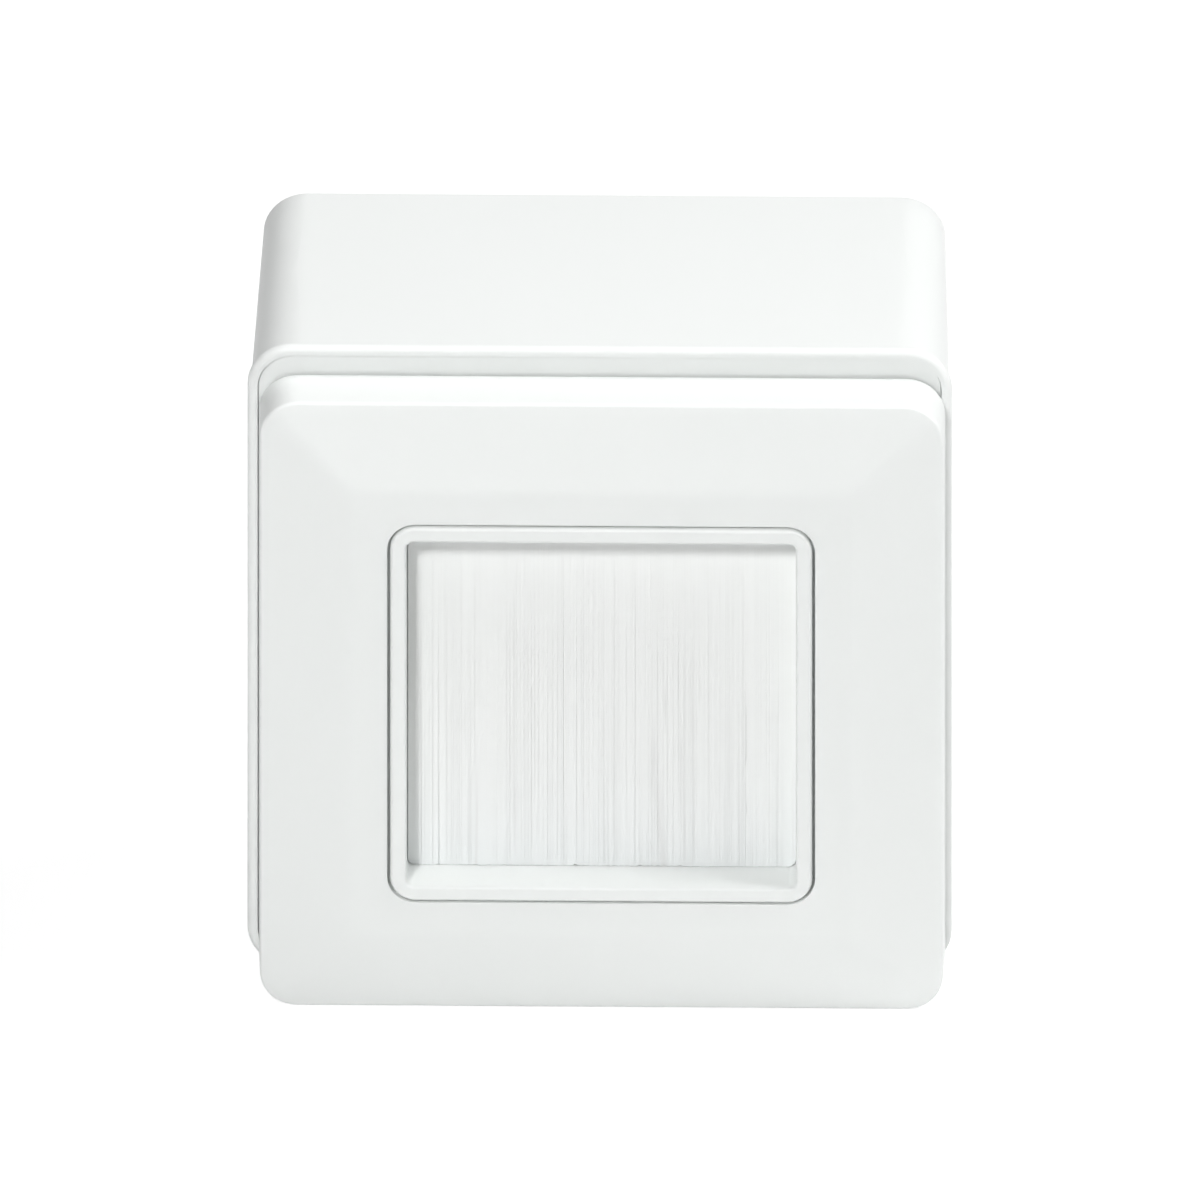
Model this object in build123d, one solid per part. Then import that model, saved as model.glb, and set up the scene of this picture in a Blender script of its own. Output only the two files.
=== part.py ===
"""Brush wall plate: a surface box, its cover frame and an insert whose brush lets cables out.

Everything is drawn lying on its back, with X to the right, Y up the wall and Z out of the wall,
and is stood up at the end, so that Z is up and the wall is the plane Y = 0. Sizes are in
millimetres, angles in degrees.
"""

import os
from math import atan2, radians, sin, sqrt, tan

from build123d import *

# Surface box
box_width = 81.7  # outside, just behind the bead
box_depth = 41.0  # from the wall to the front of the rim
box_draft = 1.48  # lean of each side, in towards the wall
box_corner = 6.2
box_wall = 2.0
box_floor = 2.0
box_back_chamfer = 0.4  # outside, round the back
bead_proud = 0.3  # how far the bead stands out from the sides; its back has a chamfer of this size
bead_depth = 1.2
bead_round = 0.8  # at its front
rim_width = 1.2  # what is left of the bead outside the mounting plate

# Fixings in the box's floor
slot_pitch = 50.0
slot_width = 4.5
slot_length = 8.0
entry_bore = 18.0  # cable entry from the wall
entry_drop = 12.0  # its centre below the middle
entry_collar_wall = 1.5
entry_collar_height = 2.5
knockout_width = 16.0  # in the box's lower side
knockout_height = 14.0
knockout_groove = 0.8
knockout_web = 0.7
knockout_level = 20.0  # its middle above the wall

# Pillars and screws that carry the mounting plate
pillar_diameter = 7.0
pilot_bore = 2.4
pilot_depth = 14.0
pillar_rib = 1.4
pillar_rib_short = 6.0  # how far the rib stops below the plate
screw_core = 2.3
screw_length = 11.0
screw_head_diameter = 5.4
screw_head_height = 1.9
screw_head_chamfer = 0.6
screw_cross_width = 0.8
screw_cross_span = 3.0
screw_cross_depth = 1.1
screw_land = 5.7  # from the plate's window to the screws' axes
screw_clearance = 0.5

# Mounting plate
plate_thickness = 1.2
plate_step = 0.35  # how far its face lies behind the rim
plate_corner = 4.0
plate_flange_wall = 1.2  # stiffening flange round its window
plate_flange_depth = 2.0
fit_gap = 0.1  # round pieces that drop into a seat

# The frame and its insert hang down and to the right by the slack in the plate's window
face_drop = 2.7
face_shift = 0.3

# Cover frame
frame_setback = 1.05  # from the bead's outside to the frame's
frame_side = 6.5  # height of its side
frame_draft = 1.76
frame_corner = 4.6
frame_wall = 1.8
frame_edge_round = 0.45
bevel_rise = 2.2
flat_border = 4.2  # flat zone between the bevel and the insert
ridge_round = 6.0  # along the ridge and the mitred corners of the bevel
insert_gap = 0.35
shelf_width = 0.8  # ledge that carries the insert's rim
shelf_thickness = 1.2
collar_wall = 1.6
frame_rib = 1.2
frame_rib_offset = 17.0
frame_rib_lift = 2.4  # clear height under the ribs, over the plate

# Centre insert
insert_width = 49.3
insert_corner = 3.0
insert_proud = 0.4
insert_rim_thickness = 2.0
insert_edge = 0.4  # chamfers of its face, outside and round the opening
insert_border = 1.9  # from its outside to the opening
opening_corner = 0.9
sleeve_gap = 0.2  # between the sleeve and the frame's ledge
hook_width = 6.0
hook_offset = 12.0
hook_reach = 1.1
hook_length = 3.4
hook_slit = 0.7
hook_slit_rise = 2.0  # how far the slits run past the plate's flange
hook_play = 0.05

# Brush
recess_depth = 5.1  # from the insert's face to the front of the filaments
channel_sheet = 0.5
channel_height = 3.0
channel_bury = 0.6  # how deep it sits in the sleeve's upper wall
rail_thickness = 0.8  # rib that hides the channel from the front
rail_height = 2.0
wire_diameter = 1.0
filament_bundle = 0.67  # thickness of one leg of a tuft
brush_gap = 0.03  # between the tufts, the wire and the channel
leg_gap_at_tip = 0.3
tuft_pitch = 0.92
tuft_gap = 0.03
tuft_gap_swing = 0.08  # how much wider the widest splits between tufts are
tip_gap = 0.25
tip_gap_swing = 0.4
retainer_thickness = 1.1
tongue_height = 1.4
tongue_reach = 1.1

level_tolerance = 0.05  # how near to a level an edge lies to be found there

# Worked out from the sizes above
bead_width = box_width + 2 * bead_proud
bead_back = box_depth - bead_depth
plate_width = bead_width - 2 * (rim_width + fit_gap)
plate_front = box_depth - plate_step
plate_back = plate_front - plate_thickness
flange_back = plate_back - plate_flange_depth

frame_width = bead_width - 2 * frame_setback
frame_front_width = frame_width - 2 * frame_side * tan(radians(frame_draft))
frame_edge = box_depth + frame_side
frame_face = frame_edge + bevel_rise
cutout_width = insert_width + 2 * insert_gap
cutout_corner = insert_corner + insert_gap
ridge_width = cutout_width + 2 * flat_border
bevel_angle = atan2(bevel_rise, (frame_front_width - ridge_width) / 2)
corner_lift = frame_corner * (1 - 1 / sqrt(2)) * tan(bevel_angle)  # of the front edge at the corners

opening_width = insert_width - 2 * insert_border
insert_face = frame_face + insert_proud
shelf_front = insert_face - insert_rim_thickness
shelf_back = shelf_front - shelf_thickness
shelf_opening = cutout_width - 2 * shelf_width
sleeve_width = shelf_opening - 2 * sleeve_gap
sleeve_wall = (sleeve_width - opening_width) / 2
sleeve_corner = opening_corner + sleeve_wall
sleeve_back = flange_back - hook_play - hook_length

window_width = sleeve_width + 2 * face_shift
window_height = sleeve_width + 2 * face_drop
screw_pitch = window_width + 2 * screw_land

brush_top = opening_width / 2 + channel_bury
channel_front = insert_face - recess_depth + channel_sheet
channel_inside = wire_diameter + 2 * filament_bundle + 4 * brush_gap
channel_thickness = channel_inside + 2 * channel_sheet
channel_back = channel_front - channel_thickness
channel_length = opening_width - 2 * fit_gap
wire_level = channel_front - channel_thickness / 2
wire_height = brush_top - channel_sheet - brush_gap - filament_bundle - brush_gap - wire_diameter / 2


def rounded_block(width, corner, start, stop, height=None):
    """Straight block with rounded corners, between two levels above the wall."""
    outline = Pos(0, 0, start) * RectangleRounded(width, height or width, corner)
    return extrude(outline, amount=stop - start)


def narrowing_block(width, corner, start, stop, draft):
    """Rounded block that narrows by the draft angle from its start level to its stop level."""
    way = 1 if stop > start else -1
    level = Plane((0, 0, start), x_dir=(1, 0, 0), z_dir=(0, 0, way))
    return extrude(level * RectangleRounded(width, width, corner), amount=abs(stop - start), taper=draft)


def edges_between(solid, low, high):
    """Edges that lie between two levels above the wall."""
    lowest = low - level_tolerance
    highest = high + level_tolerance
    return [edge for edge in solid.edges()
            if all(lowest < (edge @ along).Z < highest for along in (0, 0.5, 1))]


def spread(spots, outline):
    """One outline repeated at each of several spots."""
    return Sketch() + [spot * outline for spot in spots]


def box_half_at(level):
    """Half the box's outside width at a level above the wall."""
    return box_width / 2 - (bead_back - level) * tan(radians(box_draft))


def box_shell():
    """Drafted walls, beaded rim and the seat for the mounting plate."""
    body = narrowing_block(box_width, box_corner, bead_back, 0, box_draft)
    body = chamfer(edges_between(body, 0, 0), box_back_chamfer)
    seat_corner = plate_corner + fit_gap
    bead = rounded_block(bead_width, seat_corner + rim_width, bead_back, box_depth)
    bead = chamfer(edges_between(bead, bead_back, bead_back), bead_proud)
    bead = fillet(edges_between(bead, box_depth, box_depth), bead_round)
    cavity_width = box_width - 2 * box_wall
    cavity = narrowing_block(cavity_width, box_corner - box_wall, bead_back, box_floor, box_draft)
    throat = rounded_block(cavity_width, box_corner - box_wall, bead_back, box_depth)
    seat_width = plate_width + 2 * fit_gap
    seat = rounded_block(seat_width, seat_corner, plate_back, box_depth)
    return body + bead - cavity - throat - seat


def wall_fixings():
    """Collar of the cable entry, and its bore with the slots for the wall screws, as (added, cut)."""
    spots = GridLocations(slot_pitch, slot_pitch, 2, 2)
    slots = extrude(spread(spots, SlotOverall(slot_length, slot_width)), amount=box_floor)
    entry = Pos(0, -entry_drop)
    collar_top = box_floor + entry_collar_height
    collar = extrude(entry * Circle(entry_bore / 2 + entry_collar_wall), amount=collar_top)
    bore = extrude(entry * Circle(entry_bore / 2), amount=collar_top)
    return collar, slots + bore


def pillar(side):
    """Screw pillar with the rib that ties it to the box's side wall."""
    axis = side * screw_pitch / 2
    post = Pos(axis, 0) * extrude(Circle(pillar_diameter / 2), amount=plate_back)
    reach = box_half_at(0) - box_wall / 2
    rib_middle = side * (screw_pitch / 2 + reach) / 2
    rib_size = Rectangle(reach - screw_pitch / 2, pillar_rib)
    rib = Pos(rib_middle, 0) * extrude(rib_size, amount=plate_back - pillar_rib_short)
    return post + rib


def knockout_cut():
    """Groove cut from inside into the box's lower side, round a panel that can be broken out."""
    level = box_half_at(knockout_level) - knockout_web
    side = Plane((0, -level, knockout_level), x_dir=(1, 0, 0), z_dir=(0, 1, 0))
    outer = Rectangle(knockout_width, knockout_height)
    inner = Rectangle(knockout_width - 2 * knockout_groove, knockout_height - 2 * knockout_groove)
    return extrude(side * (outer - inner), amount=box_wall)


def surface_box():
    """The housing, one moulding."""
    added, cut = wall_fixings()
    pilots = Part()
    box = box_shell() + added
    for side in (-1, 1):
        box += pillar(side)
        pilot = Circle(pilot_bore / 2)
        pilots += Pos(side * screw_pitch / 2, 0, plate_back) * extrude(pilot, amount=-pilot_depth)
    return box - cut - pilots - knockout_cut()


def mounting_plate():
    """Plate in the box's rim, with the window that the insert clicks into."""
    window_corner = sleeve_corner
    plate = rounded_block(plate_width, plate_corner, plate_back, plate_front)
    flange = rounded_block(window_width + 2 * plate_flange_wall, window_corner + plate_flange_wall,
                           flange_back, plate_back, window_height + 2 * plate_flange_wall)
    window = rounded_block(window_width, window_corner, flange_back, plate_front, window_height)
    hole = screw_core + 2 * screw_clearance
    slots = spread(GridLocations(screw_pitch, 0, 2, 1), SlotOverall(hole + 2 * screw_clearance, hole))
    return plate + flange - window - Pos(0, 0, plate_back) * extrude(slots, amount=plate_thickness)


def plate_screw():
    """Pan-head screw with a cross recess, on its own axis, head under at level 0."""
    head = extrude(Circle(screw_head_diameter / 2), amount=screw_head_height)
    head = chamfer(edges_between(head, screw_head_height, screw_head_height), screw_head_chamfer)
    shank = extrude(Circle(screw_core / 2), amount=-screw_length)
    bar = Rectangle(screw_cross_span, screw_cross_width)
    cross = Pos(0, 0, screw_head_height) * extrude(bar + Rot(0, 0, 90) * bar, amount=-screw_cross_depth)
    return head + shank - cross


def frame_skin(shrink):
    """Outer form of the frame, or the form that lies inside it by the shrink distance."""
    face = frame_face - shrink
    block = narrowing_block(frame_width - 2 * shrink, frame_corner - shrink, box_depth, face, frame_draft)
    ridge = ridge_width / 2 - shrink * tan(bevel_angle / 2)
    edge = frame_width / 2
    outline = Polyline((ridge, face), (edge, face - (edge - ridge) * tan(bevel_angle)),
                       (edge, face + bevel_rise), (ridge, face + bevel_rise), close=True)
    above = Plane((0, edge, 0), x_dir=(1, 0, 0), z_dir=(0, -1, 0)) * make_face(outline)
    wedge = extrude(above, amount=2 * edge)
    for quarter in range(4):
        block -= Rot(0, 0, 90 * quarter) * wedge
    return block


def frame_ribs():
    """Ribs between the frame's collar and its sides, clear of the screw heads."""
    start = plate_front + frame_rib_lift
    ribs = Part()
    for spot in (-frame_rib_offset, frame_rib_offset):
        rib = Pos(spot, 0, start) * extrude(Rectangle(frame_rib, frame_width - frame_wall),
                                            amount=frame_face - start)
        ribs += rib
        ribs += Rot(0, 0, 90) * rib
    return ribs


def cover_frame():
    """Bevelled frame, a hollow moulding with a stepped collar round its cut-out."""
    outside = frame_skin(0)
    ridges = [edge for edge in outside.edges() if edge.bounding_box().max.Z > frame_face - level_tolerance]
    outside = fillet(ridges, ridge_round)
    outside = fillet(edges_between(outside, frame_edge, frame_edge + corner_lift), frame_edge_round)
    collar = rounded_block(cutout_width + 2 * collar_wall, cutout_corner + collar_wall,
                           shelf_back, frame_face)
    foot = rounded_block(shelf_opening + 2 * collar_wall, sleeve_corner + collar_wall,
                         plate_front, shelf_back)
    inside = (collar + foot + frame_ribs()) & (outside + foot)
    cutout = rounded_block(cutout_width, cutout_corner, shelf_front, insert_face)
    passage = rounded_block(shelf_opening, sleeve_corner + sleeve_gap, plate_front, insert_face)
    return outside - frame_skin(frame_wall) + inside - cutout - passage


def hook(side, offset):
    """Snap hook on the sleeve's side, behind the flange of the mounting plate."""
    catch = flange_back - hook_play
    wall = side * (sleeve_width / 2 - sleeve_wall / 2)
    face = side * sleeve_width / 2
    outline = Polyline((wall, catch), (face + side * hook_reach, catch),
                       (face + side * hook_reach, catch - hook_reach / 2), (face, sleeve_back),
                       (wall, sleeve_back), close=True)
    section = Plane((0, offset + hook_width / 2, 0), x_dir=(1, 0, 0), z_dir=(0, -1, 0)) * make_face(outline)
    return extrude(section, amount=hook_width)


def hook_slits():
    """Slits beside each hook, which let it spring inwards."""
    rise = flange_back + hook_slit_rise
    height = rise - sleeve_back
    shift = (hook_width + hook_slit) / 2
    cuts = Part()
    for offset in (-hook_offset, hook_offset):
        for beside in (-shift, shift):
            strip = Rectangle(sleeve_width + 2 * hook_reach, hook_slit)
            cuts += Pos(0, offset + beside, sleeve_back) * extrude(strip, amount=height)
    return cuts


def brush_seat():
    """Groove for the channel and windows for the retainer's tongues, cut into the sleeve."""
    groove_height = brush_top + fit_gap
    groove_depth = channel_front - sleeve_back
    groove = Pos(0, groove_height / 2, channel_front - groove_depth / 2) * Box(
        channel_length + 2 * fit_gap, groove_height, groove_depth)
    windows = Pos(0, tongue_level(), channel_back - retainer_thickness / 2) * Box(
        sleeve_width, tongue_height + 2 * fit_gap, retainer_thickness + 2 * fit_gap)
    return groove + windows


def tongue_level():
    """Height of the retainer's middle, which is the middle of the channel."""
    return brush_top - channel_height / 2


def centre_insert():
    """Square insert: a thin rim, a sleeve behind it, snap hooks and the seat of the brush."""
    opening = rounded_block(opening_width, opening_corner, sleeve_back, insert_face)
    rim = rounded_block(insert_width, insert_corner, shelf_front, insert_face)
    sleeve = rounded_block(sleeve_width, sleeve_corner, sleeve_back, shelf_front)
    insert = rim + sleeve - opening
    insert = chamfer(edges_between(insert, insert_face, insert_face), insert_edge) - hook_slits()
    for side in (-1, 1):
        for offset in (-hook_offset, hook_offset):
            insert += hook(side, offset)
    insert -= brush_seat()
    rail_middle = channel_front + rail_thickness / 2
    rail = Pos(0, opening_width / 2 - rail_height / 2, rail_middle) * Box(
        opening_width, rail_height, rail_thickness)
    return insert + rail


def brush_channel():
    """Folded sheet channel, open downwards, that grips the filaments."""
    middle = Pos(0, brush_top - channel_height / 2, wire_level)
    outside = middle * Box(channel_length, channel_height, channel_thickness)
    folds = [edge for edge in outside.edges().filter_by(Axis.X)
             if edge.center().Y > brush_top - channel_sheet]
    outside = fillet(folds, channel_sheet)
    inside = middle * Pos(0, -channel_sheet, 0) * Box(channel_length, channel_height, channel_inside)
    return outside - inside


def brush_core_wire():
    """Wire along the channel that the tufts are folded over."""
    start = Plane((-channel_length / 2, wire_height, wire_level), x_dir=(0, 1, 0), z_dir=(1, 0, 0))
    return extrude(start * Circle(wire_diameter / 2), amount=channel_length)


def tuft(index):
    """One bundle of filaments, bent over the wire like a hairpin, with its two legs hanging."""
    width = tuft_pitch - tuft_gap - tuft_gap_swing * sin(2.4 * index) ** 6
    middle = (index - (tuft_count() - 1) / 2) * tuft_pitch
    tip = -opening_width / 2 + tip_gap + tip_gap_swing * sin(1.9 * index) ** 2
    inner = wire_diameter / 2 + brush_gap
    outer = inner + filament_bundle
    inner_tip = leg_gap_at_tip / 2
    outer_tip = inner_tip + filament_bundle
    bend = inner * tan(radians(22.5))
    crown = outer * tan(radians(22.5))
    outside = [(outer_tip, tip), (outer, wire_height + crown), (crown, wire_height + outer)]
    inside = [(inner_tip, tip), (inner, wire_height + bend), (bend, wire_height + inner)]
    loop = outside + mirrored(outside) + list(reversed(mirrored(inside))) + list(reversed(inside))
    section = Plane((middle + width / 2, 0, wire_level), x_dir=(0, 0, 1), z_dir=(-1, 0, 0))
    return extrude(section * make_face(Polyline(*loop, close=True)), amount=width)


def mirrored(points):
    """The same points on the other side of the middle, in reverse order."""
    return [(-across, height) for across, height in reversed(points)]


def tuft_count():
    """How many tufts fit along the channel."""
    return int(channel_length / tuft_pitch)


def brush_retainer():
    """Bar behind the channel, held by a tongue at each end."""
    height = channel_height - channel_bury
    middle = channel_back - retainer_thickness / 2
    bar_spot = Pos(0, brush_top - channel_bury - height / 2, middle)
    bar = bar_spot * Box(channel_length, height, retainer_thickness)
    length = channel_length + 2 * tongue_reach
    tongues = Pos(0, tongue_level(), middle) * Box(length, tongue_height, retainer_thickness)
    return bar + tongues


def stand_up(solid):
    """Turn a piece from lying on its back to standing on the wall."""
    return Rot(90, 0, 0) * solid


screw = Pos(0, 0, plate_front) * plate_screw()
on_face = Pos(face_shift, -face_drop, 0)
pieces = {
    "surface_box": surface_box(),
    "mounting_plate": mounting_plate(),
    "plate_screw_left": Pos(-screw_pitch / 2, 0, 0) * screw,
    "plate_screw_right": Pos(screw_pitch / 2, 0, 0) * screw,
    "cover_frame": on_face * cover_frame(),
    "centre_insert": on_face * centre_insert(),
    "brush_channel": on_face * brush_channel(),
    "brush_core_wire": on_face * brush_core_wire(),
    "bristles": on_face * Compound(children=[tuft(index) for index in range(tuft_count())]),
    "brush_retainer": on_face * brush_retainer(),
}

os.makedirs("parts", exist_ok=True)
for name, piece in pieces.items():
    export_step(stand_up(piece), f"parts/{name}.step")
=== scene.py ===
import math

import bmesh
import bpy
import numpy as np
from mathutils import Matrix, Vector


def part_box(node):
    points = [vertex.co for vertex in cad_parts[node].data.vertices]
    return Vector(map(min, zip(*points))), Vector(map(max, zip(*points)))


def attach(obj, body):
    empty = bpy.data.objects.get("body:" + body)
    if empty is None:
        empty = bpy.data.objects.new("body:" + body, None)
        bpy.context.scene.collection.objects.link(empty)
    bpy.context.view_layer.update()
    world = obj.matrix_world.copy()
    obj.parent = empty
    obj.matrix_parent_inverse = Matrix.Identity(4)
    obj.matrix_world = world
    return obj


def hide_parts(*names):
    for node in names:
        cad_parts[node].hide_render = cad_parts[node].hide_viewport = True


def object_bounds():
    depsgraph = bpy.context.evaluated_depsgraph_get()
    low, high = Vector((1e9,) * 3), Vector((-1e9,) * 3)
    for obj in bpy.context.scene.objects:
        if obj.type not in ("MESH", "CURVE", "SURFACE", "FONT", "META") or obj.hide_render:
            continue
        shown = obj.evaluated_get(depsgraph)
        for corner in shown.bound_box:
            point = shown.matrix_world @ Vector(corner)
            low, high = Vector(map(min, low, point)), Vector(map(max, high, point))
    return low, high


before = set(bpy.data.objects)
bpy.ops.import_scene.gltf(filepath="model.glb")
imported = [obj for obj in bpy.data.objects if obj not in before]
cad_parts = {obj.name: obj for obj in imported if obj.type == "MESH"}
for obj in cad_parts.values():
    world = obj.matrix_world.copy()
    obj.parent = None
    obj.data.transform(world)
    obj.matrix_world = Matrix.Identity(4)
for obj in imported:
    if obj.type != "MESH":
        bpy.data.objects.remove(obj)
cadLow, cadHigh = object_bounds()
print("stage: frame loaded,", len(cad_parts), "nodes")

mm = 0.001


class Wire:
    # a shader socket that takes part in sums
    def __init__(self, graph, socket):
        self.graph = graph
        self.socket = socket

    def math(self, operation, first, second):
        # a Math node on two values or wires
        return self.graph.add("ShaderNodeMath", {"operation": operation}, {0: first, 1: second})

    def __add__(self, other):
        return self.math("ADD", self, other)

    def __radd__(self, other):
        return self.math("ADD", other, self)

    def __sub__(self, other):
        return self.math("SUBTRACT", self, other)

    def __rsub__(self, other):
        return self.math("SUBTRACT", other, self)

    def __mul__(self, other):
        return self.math("MULTIPLY", self, other)

    def __rmul__(self, other):
        return self.math("MULTIPLY", other, self)


class Graph:
    # the nodes of one material or of the world
    def __init__(self, tree):
        self.tree = tree
        tree.nodes.clear()

    def add(self, kind, settings=None, sockets=None, output=0):
        # a node of any type: first its settings, then a value or a wire for each socket
        node = self.tree.nodes.new(kind)
        for name, value in (settings or {}).items():
            setattr(node, name, value)
        for name, value in (sockets or {}).items():
            socket = self.find(node.inputs, name)
            if isinstance(value, Wire):
                self.tree.links.new(value.socket, socket)
            else:
                socket.default_value = value
        return Wire(self, self.find(node.outputs, output)) if node.outputs else None

    def mixed(self, share, first, second):
        # colour that runs from the first to the second as the share goes from 0 to 1
        return self.add("ShaderNodeMix", {"data_type": "RGBA"},
                        {"Factor_Float": share, "A_Color": first, "B_Color": second}, "Result_Color")

    def find(self, sockets, name):
        # a socket by its number, identifier or name
        if isinstance(name, int):
            return sockets[name]
        return next(socket for socket in sockets if name in (socket.identifier, socket.name))


def newMaterial(name):
    material = bpy.data.materials.new(name)
    material.use_nodes = True
    return material, Graph(material.node_tree)


def finishShader(graph, sockets):
    shader = graph.add("ShaderNodeBsdfPrincipled", None, sockets)
    graph.add("ShaderNodeOutputMaterial", None, {"Surface": shader})


def addObject(name, data):
    thing = bpy.data.objects.new(name, data)
    bpy.context.scene.collection.objects.link(thing)
    return thing


# Camera: straight projection, as the photograph shows hardly any perspective
photoWidth = 1200  # pixels
pixelsPerMetre = 8560
cameraLook = {
    "azimuth": 0.8,  # degrees
    "elevation": 28.04,
    "width": photoWidth / pixelsPerMetre,  # metres across the picture
    "aimAcross": -0.526 * mm,  # where the picture's middle lies from the part's origin
    "aimUp": -12.32 * mm,
    "distance": 0.9,
    "clip": (0.01, 20),
}


def aim(look):
    # unit vector from the object towards an azimuth and elevation; azimuth 0 is straight in front
    az, el = math.radians(look["azimuth"]), math.radians(look["elevation"])
    return Vector((math.sin(az) * math.cos(el), -math.cos(az) * math.cos(el), math.sin(el)))


def makeCamera(look):
    back = aim(look)
    across = Vector((0, 0, 1)).cross(back).normalized()
    up = back.cross(across)
    data = bpy.data.cameras.new("camera")
    data.type = "ORTHO"
    data.ortho_scale = look["width"]
    data.clip_start, data.clip_end = look["clip"]
    camera = addObject("camera", data)
    place = across * look["aimAcross"] + up * look["aimUp"] + back * look["distance"]
    camera.matrix_world = Matrix.Translation(place) @ Matrix((across, up, back)).transposed().to_4x4()
    bpy.context.scene.camera = camera


# Lamps: each one's level is the brightness that it alone gives a white sheet that faces it
lampLook = {
    "key": {"azimuth": -16, "elevation": 37.5, "distance": 1.2, "size": 0.16, "level": 0.534},
    "rightTop": {"azimuth": 88, "elevation": 55, "distance": 1.2, "size": 0.6, "level": 0.85},
    "rear": {"azimuth": 180, "elevation": 50, "distance": 1.2, "size": 0.6, "level": 0.045},
    "leftLow": {"azimuth": -55, "elevation": 8, "distance": 1.2, "size": 0.5, "level": 0.022},
    "nearLow": {"azimuth": -28, "elevation": -8, "distance": 0.22, "size": 0.02, "level": 0.015},
}
worldLook = {
    "ambient": 0.01,  # what it lights the part with
    "seen": 1.0,  # what the camera and gloss see of it
}


def makeLamp(name, look):
    data = bpy.data.lights.new(name, "AREA")
    data.shape = "SQUARE"
    data.size = look["size"]
    data.energy = look["level"] * math.pi ** 2 * look["distance"] ** 2
    lamp = addObject(name, data)
    towards = aim(look)
    lamp.location = towards * look["distance"]
    lamp.rotation_euler = towards.to_track_quat("Z", "Y").to_euler()
    lamp.visible_camera = False


def seenDirectly(graph):
    # 1 for rays from the camera and for what gloss and glass show
    path = graph.add("ShaderNodeLightPath", output="Is Camera Ray")
    node = path.socket.node
    glossy = Wire(graph, node.outputs["Is Glossy Ray"])
    clear = Wire(graph, node.outputs["Is Transmission Ray"])
    return path.math("MINIMUM", path + glossy + clear, 1.0)


def makeWorld(look):
    world = bpy.data.worlds.new("studio")
    world.use_nodes = True
    bpy.context.scene.world = world
    graph = Graph(world.node_tree)
    strength = look["ambient"] + seenDirectly(graph) * (look["seen"] - look["ambient"])
    light = graph.add("ShaderNodeBackground", None, {"Color": (1, 1, 1, 1), "Strength": strength})
    graph.add("ShaderNodeOutputWorld", None, {"Surface": light})


floorLook = {
    "half": 2.0,  # metres from the middle to a side
    "drop": 0.05 * mm,  # below the part's lowest point
    "albedo": 0.88,
    "glow": 0.86,  # the level that the camera sees of it without lamps
    "shadowShare": 0.30,  # the share of the lamps' light that it shows, and so of their shadows
}


def makeFloor(look):
    level = cadLow.z - look["drop"]
    half = look["half"]
    mesh = bpy.data.meshes.new("floor")
    corners = [(-half, -half, level), (half, -half, level), (half, half, level), (-half, half, level)]
    mesh.from_pydata(corners, [], [(0, 1, 2, 3)])
    floor = addObject("floor", mesh)
    material, graph = newMaterial("paper")
    plain = graph.add("ShaderNodeBsdfDiffuse", None, {"Color": (look["albedo"],) * 3 + (1,)})
    share = look["shadowShare"]
    faint = graph.add("ShaderNodeBsdfDiffuse", None, {"Color": (share, share, share, 1)})
    glow = graph.add("ShaderNodeEmission", None, {"Strength": look["glow"]})
    white = graph.add("ShaderNodeAddShader", None, {0: faint, 1: glow})
    seen = seenDirectly(graph)
    surface = graph.add("ShaderNodeMixShader", None, {"Fac": seen, 1: plain, 2: white})
    graph.add("ShaderNodeOutputMaterial", None, {"Surface": surface})
    mesh.materials.append(material)


makeCamera(cameraLook)
for lampName, oneLamp in lampLook.items():
    makeLamp(lampName, oneLamp)
makeWorld(worldLook)
makeFloor(floorLook)
print("stage: camera, lamps and floor")


# Moulded plastic: a satin white skin with a very fine spark-eroded grain
plasticLook = {
    "pale": (0.860, 0.878, 0.867, 1),
    "deep": (0.847, 0.868, 0.855, 1),
    "cloudScale": 45,  # soft patches of about 20 mm
    "grainScale": 5200,  # grain of about 0.2 mm
    "detail": 2.0,  # of both patterns
    "smooth": 0.34,
    "roughSpan": 0.10,
    "refraction": 1.5,
    "shine": 0.3,
    "scatter": 0.35,  # share of the light that spreads under the skin
    "scatterReach": 0.8 * mm,
    "grainHeight": 0.006 * mm,
    "grainStrength": 0.35,
}


def mouldedPlastic(name, look):
    material, graph = newMaterial(name)
    place = graph.add("ShaderNodeTexCoord", output="Object")
    cloud = graph.add("ShaderNodeTexNoise", None,
                      {"Vector": place, "Scale": look["cloudScale"], "Detail": look["detail"]})
    grain = graph.add("ShaderNodeTexNoise", None,
                      {"Vector": place, "Scale": look["grainScale"], "Detail": look["detail"]})
    colour = graph.mixed(cloud, look["deep"], look["pale"])
    rough = look["smooth"] + cloud * look["roughSpan"] + (grain - 0.5) * look["roughSpan"]
    skin = graph.add("ShaderNodeBump", None, {
        "Strength": look["grainStrength"], "Distance": look["grainHeight"], "Height": grain}, "Normal")
    finishShader(graph, {"Base Color": colour, "Roughness": rough, "Normal": skin,
                         "IOR": look["refraction"], "Specular IOR Level": look["shine"],
                         "Subsurface Weight": look["scatter"], "Subsurface Radius": (1, 1, 1),
                         "Subsurface Scale": look["scatterReach"]})
    return material


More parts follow.
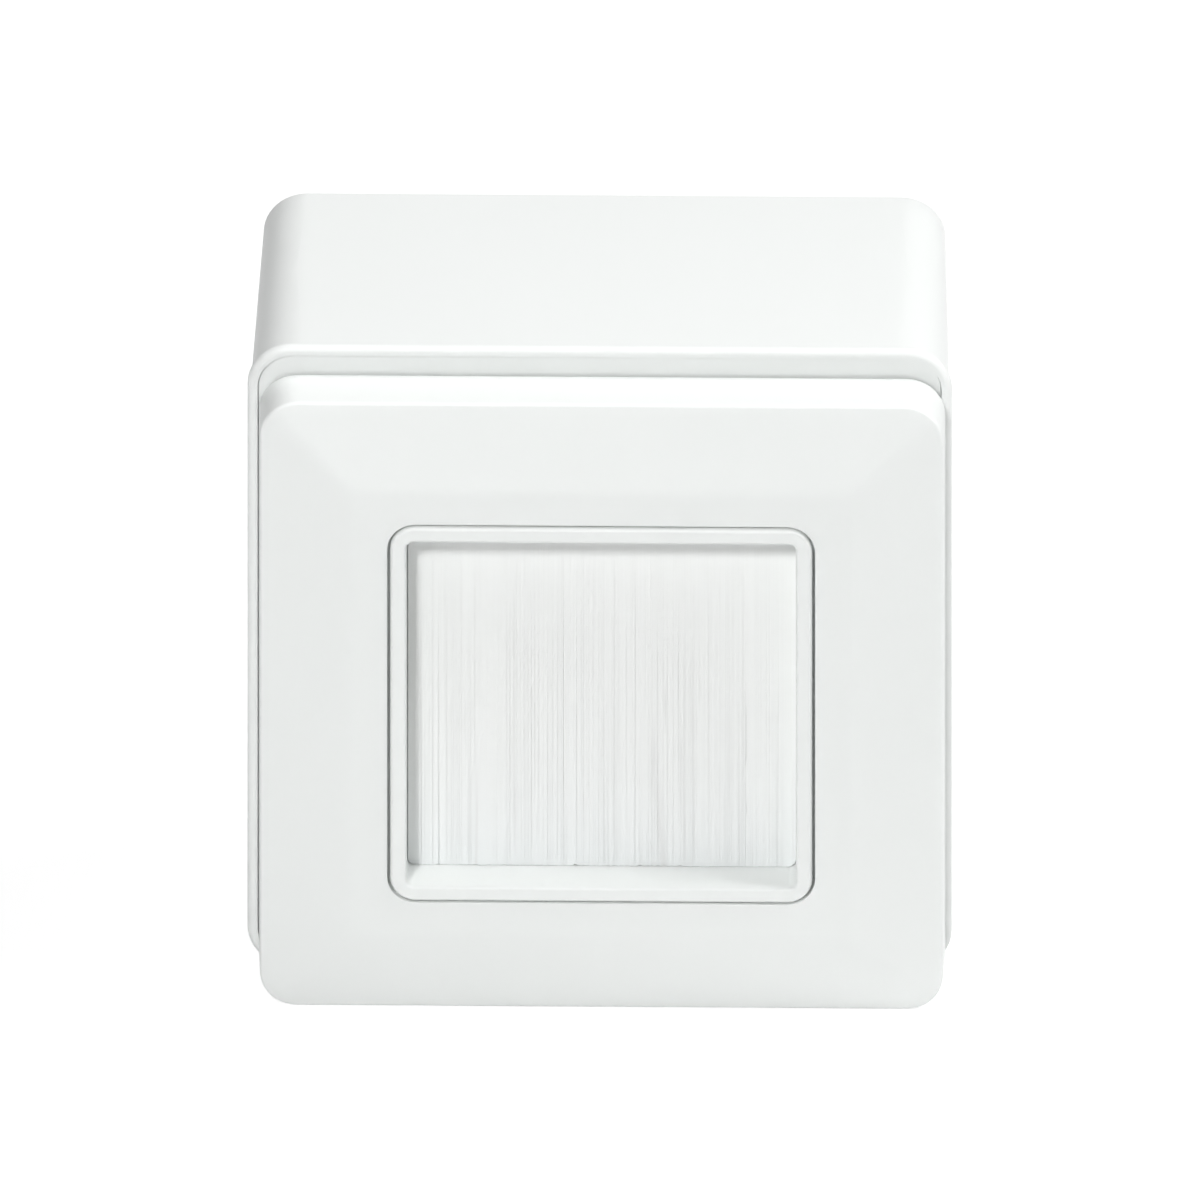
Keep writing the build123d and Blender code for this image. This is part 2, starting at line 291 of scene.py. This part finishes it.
# Bare metal: lines along the drawn or rolled direction
metalLines = {"detail": 3.0, "strength": 0.4}  # the same in every metal
metalLook = {
    "channel": {
        "colour": (0.72, 0.73, 0.74, 1), "dark": (0.60, 0.61, 0.62, 1),
        "stretch": (60, 2500, 2500), "lineHeight": 0.004 * mm, "rough": 0.34, "roughSpan": 0.16},
    "wire": {
        "colour": (0.58, 0.59, 0.60, 1), "dark": (0.45, 0.46, 0.47, 1),
        "stretch": (90, 3000, 3000), "lineHeight": 0.003 * mm, "rough": 0.30, "roughSpan": 0.14},
    "screw": {
        "colour": (0.66, 0.68, 0.71, 1), "dark": (0.52, 0.53, 0.54, 1),
        "stretch": (900, 900, 900), "lineHeight": 0.003 * mm, "rough": 0.26, "roughSpan": 0.18},
}


def bareMetal(name, look):
    material, graph = newMaterial(name)
    place = graph.add("ShaderNodeTexCoord", output="Object")
    drawn = graph.add("ShaderNodeMapping", None, {"Vector": place, "Scale": look["stretch"]})
    lines = graph.add("ShaderNodeTexNoise", None,
                      {"Vector": drawn, "Scale": 1.0, "Detail": metalLines["detail"]})
    colour = graph.mixed(lines, look["dark"], look["colour"])
    rough = look["rough"] + lines * look["roughSpan"]
    relief = graph.add("ShaderNodeBump", None, {
        "Strength": metalLines["strength"], "Distance": look["lineHeight"], "Height": lines}, "Normal")
    finishShader(graph, {"Base Color": colour, "Roughness": rough, "Normal": relief, "Metallic": 1.0})
    return material


def dress(thing, material):
    thing.data.materials.clear()
    thing.data.materials.append(material)


# Shells: merged copies of the CAD nodes, with soft shading over their roundings
shellLook = {
    "surface_box": {"piece": "box_shell", "slot": "box_plastic"},
    "mounting_plate": {"piece": "plate_shell", "slot": "plate_plastic"},
    "cover_frame": {"piece": "frame_shell", "slot": "frame_plastic"},
    "centre_insert": {"piece": "insert_shell", "slot": "insert_plastic"},
    "brush_retainer": {"piece": "retainer_bar", "slot": "insert_plastic"},
}
weldReach = 0.0005 * mm
flatAngle = math.radians(0.2)  # triangles nearer than this to each other make one flat
sharpAngle = math.radians(50)  # the 45 degree chamfers shade as roundings
flatWeight = 100  # large faces lead the shading of their corners


def mergedCopy(node, name):
    # a copy of a CAD node with its loose triangles merged. Flats that look straight to the front or the
    # back are joined, and the importer's normals are dropped, because they would hide the sharp edges
    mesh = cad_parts[node].data.copy()
    mesh.name = name
    work = bmesh.new()
    work.from_mesh(mesh)
    bmesh.ops.remove_doubles(work, verts=work.verts, dist=weldReach)
    straight = math.cos(flatAngle)
    inner = [edge for edge in work.edges if all(abs(face.normal.y) > straight for face in edge.link_faces)]
    bmesh.ops.dissolve_limit(work, angle_limit=flatAngle, verts=[], edges=inner)
    work.to_mesh(mesh)
    work.free()
    imported = mesh.attributes.get("custom_normal")
    if imported is not None:
        mesh.attributes.remove(imported)
    mesh.shade_smooth()
    mesh.set_sharp_from_angle(angle=sharpAngle)
    copy = addObject(name, mesh)
    weighted = copy.modifiers.new("flats", "WEIGHTED_NORMAL")
    weighted.keep_sharp = True
    weighted.weight = flatWeight
    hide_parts(node)
    return copy


whitePlastic = mouldedPlastic("white_plastic", plasticLook)
for node, look in shellLook.items():
    shell = mergedCopy(node, look["piece"])
    dress(shell, whitePlastic)
    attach(shell, "root")
dress(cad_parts["brush_channel"], bareMetal("rolled_aluminium", metalLook["channel"]))
dress(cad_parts["brush_core_wire"], bareMetal("drawn_wire", metalLook["wire"]))
zinc = bareMetal("bright_zinc", metalLook["screw"])
for node in ("plate_screw_left", "plate_screw_right"):
    dress(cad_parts[node], zinc)
print("stage: shells and metals")


# Brush: fine filaments, each folded over the wire with one leg in front and one behind
brushLook = {
    "seed": 11,
    "layers": 4,  # rows of filaments in one leg
    "perLayer": 350,
    "thick": 0.19 * mm,
    "sides": 4,
    "frontRings": 8,
    "bendRings": 4,
    "backRings": 4,
    "bundle": 0.67 * mm,  # depth of the rows in one leg
    "wireRadius": 0.56 * mm,
    "tipGap": 0.15 * mm,  # between the legs at their tips
    "placeJitter": 0.014 * mm,
    "depthJitter": 0.02 * mm,
    "fanOut": 0.22 * mm,  # at each side, below the channel
    "fanEnd": 0.02,  # share of a leg's length over which it fans out
    "wallCorner": 0.9 * mm,  # rounding of the sleeve's lower corners
    "lean": 0.012 * mm,  # of single filaments
    "leanGrowth": 1.3,  # power of the length by which a lean grows
    "bow": 0.008 * mm,
    "strays": 0.005,  # share that crosses its neighbours
    "strayLean": 0.3 * mm,
    "tipDrop": 0.22 * mm,  # how far the tips reach below the tufts
    "tipSpread": 0.09 * mm,  # how uneven the tips are
    "waves": ((2.1, 0.020), (1.3, 0.010), (0.75, 0.004), (5.2, 0.040)),  # (mm along, mm sideways)
    "waveGrowth": 1.5,
    "valleys": (  # (mm from the middle, start and end as shares of a leg, half width in mm, slant in mm)
        (-14.5, 0.74, 1.20, 0.14, -0.6),
        (-10.1, 0.71, 0.89, 0.12, 0.0),
        (-8.9, 0.78, 0.87, 0.14, 0.1),
        (-1.0, 0.22, 0.40, 0.10, 0.0),
        (5.65, 0.52, 1.20, 0.45, 3.4),
        (9.3, 0.62, 0.90, 0.30, 1.2),
    ),
    "valleyDepth": 0.05 * mm,
    "valleyRamp": 0.1,  # share of a leg's length over which a valley starts or ends
    "notches": (  # (mm from the middle, half width in mm, lift in mm)
        (-14.7, 0.25, 0.10), (-11.4, 0.12, 0.08), (-3.1, 0.22, 0.20), (4.5, 0.20, 0.10),
        (6.6, 0.15, 0.10), (9.2, 0.18, 0.12),
    ),
    "roundness": 0.15,  # share of each filament's own roundness in its shading
    "streaks": ((95, 0, 0.20), (41, 2, 0.15), (17, 0, 0.15)),  # (radians over the brush, phase, size)
    "streakShare": 0.6,  # of the streaks in a filament's tone, against chance
}


def strandPaths(look, low, high, mouth):
    # ring centres of every filament, the turn at each ring, and how deep each lies in a valley, which
    # sinks it a little and also sets its painted shade. s runs from 0 at the channel's mouth to 1 at the
    # tip. A leg's place along the brush is its start plus its waves, lean and bow, its height is a
    # straight line in s, and its bend is half a circle over the wire
    rng = np.random.default_rng(look["seed"])
    count = look["layers"] * look["perLayer"]
    half = look["thick"] / 2
    middle = (low[0] + high[0]) / 2
    reach = (high[0] - low[0]) / 2 - half
    start = np.linspace(-reach, reach, count) + rng.uniform(-1, 1, count) * look["placeJitter"]
    start = np.clip(start, -reach, reach)
    row = np.arange(count) % look["layers"] / (look["layers"] - 1)
    inner = half + row * (look["bundle"] - 2 * half - look["depthJitter"])
    inner = inner + rng.uniform(0, 1, count) * look["depthJitter"]
    layer = look["wireRadius"] + inner
    wireY = (low[1] + high[1]) / 2
    wireZ = high[2] - look["wireRadius"] - look["bundle"]
    edge = reach + look["fanOut"]
    cornerX = edge + half - look["wallCorner"]
    centres = []
    sunken = []
    for sign, rings in ((-1, look["frontRings"]), (1, look["backRings"])):
        s = np.append(np.linspace(1, look["fanEnd"], rings - 1), 0)[None, :]
        s = s if sign < 0 else s[:, ::-1]
        across = sideways(look, start, s, rng)
        fan = 1 + look["fanOut"] / reach * np.clip(s / look["fanEnd"], 0, 1)
        across = np.clip(across * fan, -edge, edge)
        foot = across[:, :1] if sign < 0 else across[:, -1:]
        side = np.clip(np.abs(foot) + half - cornerX, 0, look["wallCorner"])
        lift = look["wallCorner"] - np.sqrt(look["wallCorner"] ** 2 - side ** 2) + notchLift(look, foot)
        ragged = rng.uniform(0, 1, count)[:, None] ** 2 * look["tipSpread"]
        tip = low[2] - look["tipDrop"] + ragged + lift
        height = mouth + (tip - mouth) * s
        valleyAndShade = valleyAndShadeShare(look, across, s)
        depth = layer[:, None] + (look["tipGap"] + inner - layer)[:, None] * s
        depth = depth - valleyAndShade * look["valleyDepth"]
        centres.append(np.stack([middle + across, wireY + sign * depth, height], axis=2))
        sunken.append(valleyAndShade)
    angle = np.linspace(0, math.pi, look["bendRings"])
    bend = np.stack([
        np.repeat(middle + start[:, None], look["bendRings"], axis=1),
        wireY - layer[:, None] * np.cos(angle),
        wireZ + layer[:, None] * np.sin(angle)], axis=2)
    turns = np.concatenate([np.zeros(look["frontRings"]), angle, np.full(look["backRings"], math.pi)])
    noValley = np.zeros((count, look["bendRings"]))
    path = np.concatenate([centres[0], bend, centres[1]], axis=1)
    return path, turns, np.concatenate([sunken[0], noValley, sunken[1]], axis=1)


def sideways(look, start, s, rng):
    # place along the brush: the start plus waves and a lean that grow towards the tip, and a bow
    count = len(start)
    across = start[:, None] + np.zeros_like(s)
    for length, size in look["waves"]:
        phase = rng.uniform(0, 2 * math.pi)
        wave = np.sin(start[:, None] / (length * mm) * 2 * math.pi + phase)
        across = across + size * mm * wave * s ** look["waveGrowth"]
    lean = rng.normal(0, look["lean"], count)
    stray = rng.uniform(0, 1, count) < look["strays"]
    lean = np.where(stray, rng.normal(0, look["strayLean"], count), lean)
    bow = rng.normal(0, look["bow"], count)
    return across + lean[:, None] * s ** look["leanGrowth"] + bow[:, None] * np.sin(math.pi * s)


def valleyAndShadeShare(look, across, s):
    # a bell across each valley, times a ramp at its start and its end
    share = np.zeros_like(across)
    ramp = look["valleyRamp"]
    for place, begin, end, width, slant in look["valleys"]:
        centre = (place + slant * np.maximum(s - begin, 0)) * mm
        opening = np.clip((s - begin) / ramp, 0, 1) * np.clip((end - s) / ramp, 0, 1)
        share = np.maximum(share, opening * np.exp(-((across - centre) / (width * mm)) ** 2))
    return share


def notchLift(look, foot):
    # bells along the brush where the tips stand a little higher
    lift = np.zeros_like(foot)
    for place, width, height in look["notches"]:
        lift = lift + height * mm * np.exp(-((foot - place * mm) / (width * mm)) ** 2)
    return lift


def makeBrush(look):
    # a tube along every filament's path. A ring's points are its centre plus the radius times the cosine
    # along X and the sine along the outward turn
    low, high = (np.array(corner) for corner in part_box("bristles"))
    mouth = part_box("brush_channel")[0].z
    centres, turns, valleyAndShade = strandPaths(look, low, high, mouth)
    count, rings = centres.shape[:2]
    sides = look["sides"]
    around = (np.arange(sides) + 0.5) / sides * 2 * math.pi
    outward = np.stack([np.zeros(rings), -np.cos(turns), np.sin(turns)], axis=1)
    ring = (np.cos(around)[None, :, None] * np.array([1.0, 0, 0])
            + np.sin(around)[None, :, None] * outward[:, None, :])
    points = centres[:, :, None, :] + look["thick"] / 2 * ring[None]
    base = np.arange(count)[:, None, None] * rings * sides
    level = base + np.arange(rings - 1)[None, :, None] * sides
    here = level + np.arange(sides)[None, None, :]
    beside = level + (np.arange(sides) + 1)[None, None, :] % sides
    walls = np.stack([here, here + sides, beside + sides, beside], axis=3).reshape(-1, 4)
    first = base[:, 0] + np.arange(sides)
    last = base[:, 0] + (rings - 1) * sides + np.arange(sides)[::-1]
    faces = np.concatenate([walls, first, last])
    mesh = bpy.data.meshes.new("filaments")
    mesh.from_pydata(points.reshape(-1, 3), [], faces.tolist())
    mesh.shade_smooth()
    # shading turned mostly outward, because light scatters between filaments and evens them out
    lean = ring * look["roundness"] + outward[:, None, :] * (1 - look["roundness"])
    lean = lean / np.linalg.norm(lean, axis=2, keepdims=True)
    mesh.normals_split_custom_set_from_vertices(np.tile(lean.reshape(-1, 3), (count, 1)))
    rng = np.random.default_rng(look["seed"] + 1)
    along = np.linspace(0, 1, count)
    streak = 0.5
    for turn, phase, size in look["streaks"]:
        streak = streak + size * np.sin(along * turn + phase)
    tone = look["streakShare"] * streak + (1 - look["streakShare"]) * rng.uniform(0, 1, count)
    marks = {
        "strandTone": np.repeat(tone, rings * sides),
        "tipward": np.clip((mouth - points[..., 2].ravel()) / (mouth - low[2]), 0, 1),
        # how deep each point lies in a valley, which the material turns into painted shade
        "valleyAndShade": np.repeat(valleyAndShade.ravel(), sides),
    }
    for name, values in marks.items():
        mesh.attributes.new(name, "FLOAT", "POINT").data.foreach_set("value", values)
    return addObject("filaments", mesh)


# Nylon: each filament has its own tone; towards the tips they turn bluer in their own tint and paler with
# painted bounce light, and in the valleys they are darker with painted shade
filamentLook = {
    "pale": (0.898, 0.910, 0.898, 1),
    "grey": (0.868, 0.880, 0.868, 1),
    # paler and bluer near the tips: the paleness is painted bounce light from the opening's floor, the
    # blue is the nylon's own tint
    "tip": (0.930, 0.960, 0.970, 1),
    # the colour of the painted shade in the valleys between tufts
    "valleyAndShade": (0.800, 0.805, 0.800, 1),
    "tipPower": 5.0,  # how late the tips' colour sets in
    "tipShare": 0.6,
    "valleyAndShadeShare": 0.7,
    "rough": 0.5,
    "roughSpan": 0.12,
    "refraction": 1.53,
    "shine": 0.3,
}


def nylon(look):
    material, graph = newMaterial("white_nylon")
    tone = graph.add("ShaderNodeAttribute", {"attribute_name": "strandTone"}, None, "Fac")
    tipward = graph.add("ShaderNodeAttribute", {"attribute_name": "tipward"}, None, "Fac")
    valleyAndShade = graph.add("ShaderNodeAttribute", {"attribute_name": "valleyAndShade"}, None, "Fac")
    body = graph.mixed(tone, look["grey"], look["pale"])
    late = tipward.math("POWER", tipward, look["tipPower"])
    # painted bounce light, together with the nylon's tint, towards the tips
    nearTip = graph.mixed(late * look["tipShare"], body, look["tip"])
    # painted shade where a filament lies in a valley
    colour = graph.mixed(valleyAndShade * look["valleyAndShadeShare"], nearTip, look["valleyAndShade"])
    rough = look["rough"] + tone * look["roughSpan"]
    finishShader(graph, {"Base Color": colour, "Roughness": rough,
                         "IOR": look["refraction"], "Specular IOR Level": look["shine"]})
    return material


brush = makeBrush(brushLook)
dress(brush, nylon(filamentLook))
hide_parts("bristles")
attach(brush, "root")
print("stage: brush,", len(brush.data.polygons), "faces")

bpy.context.scene.view_settings.view_transform = "Standard"
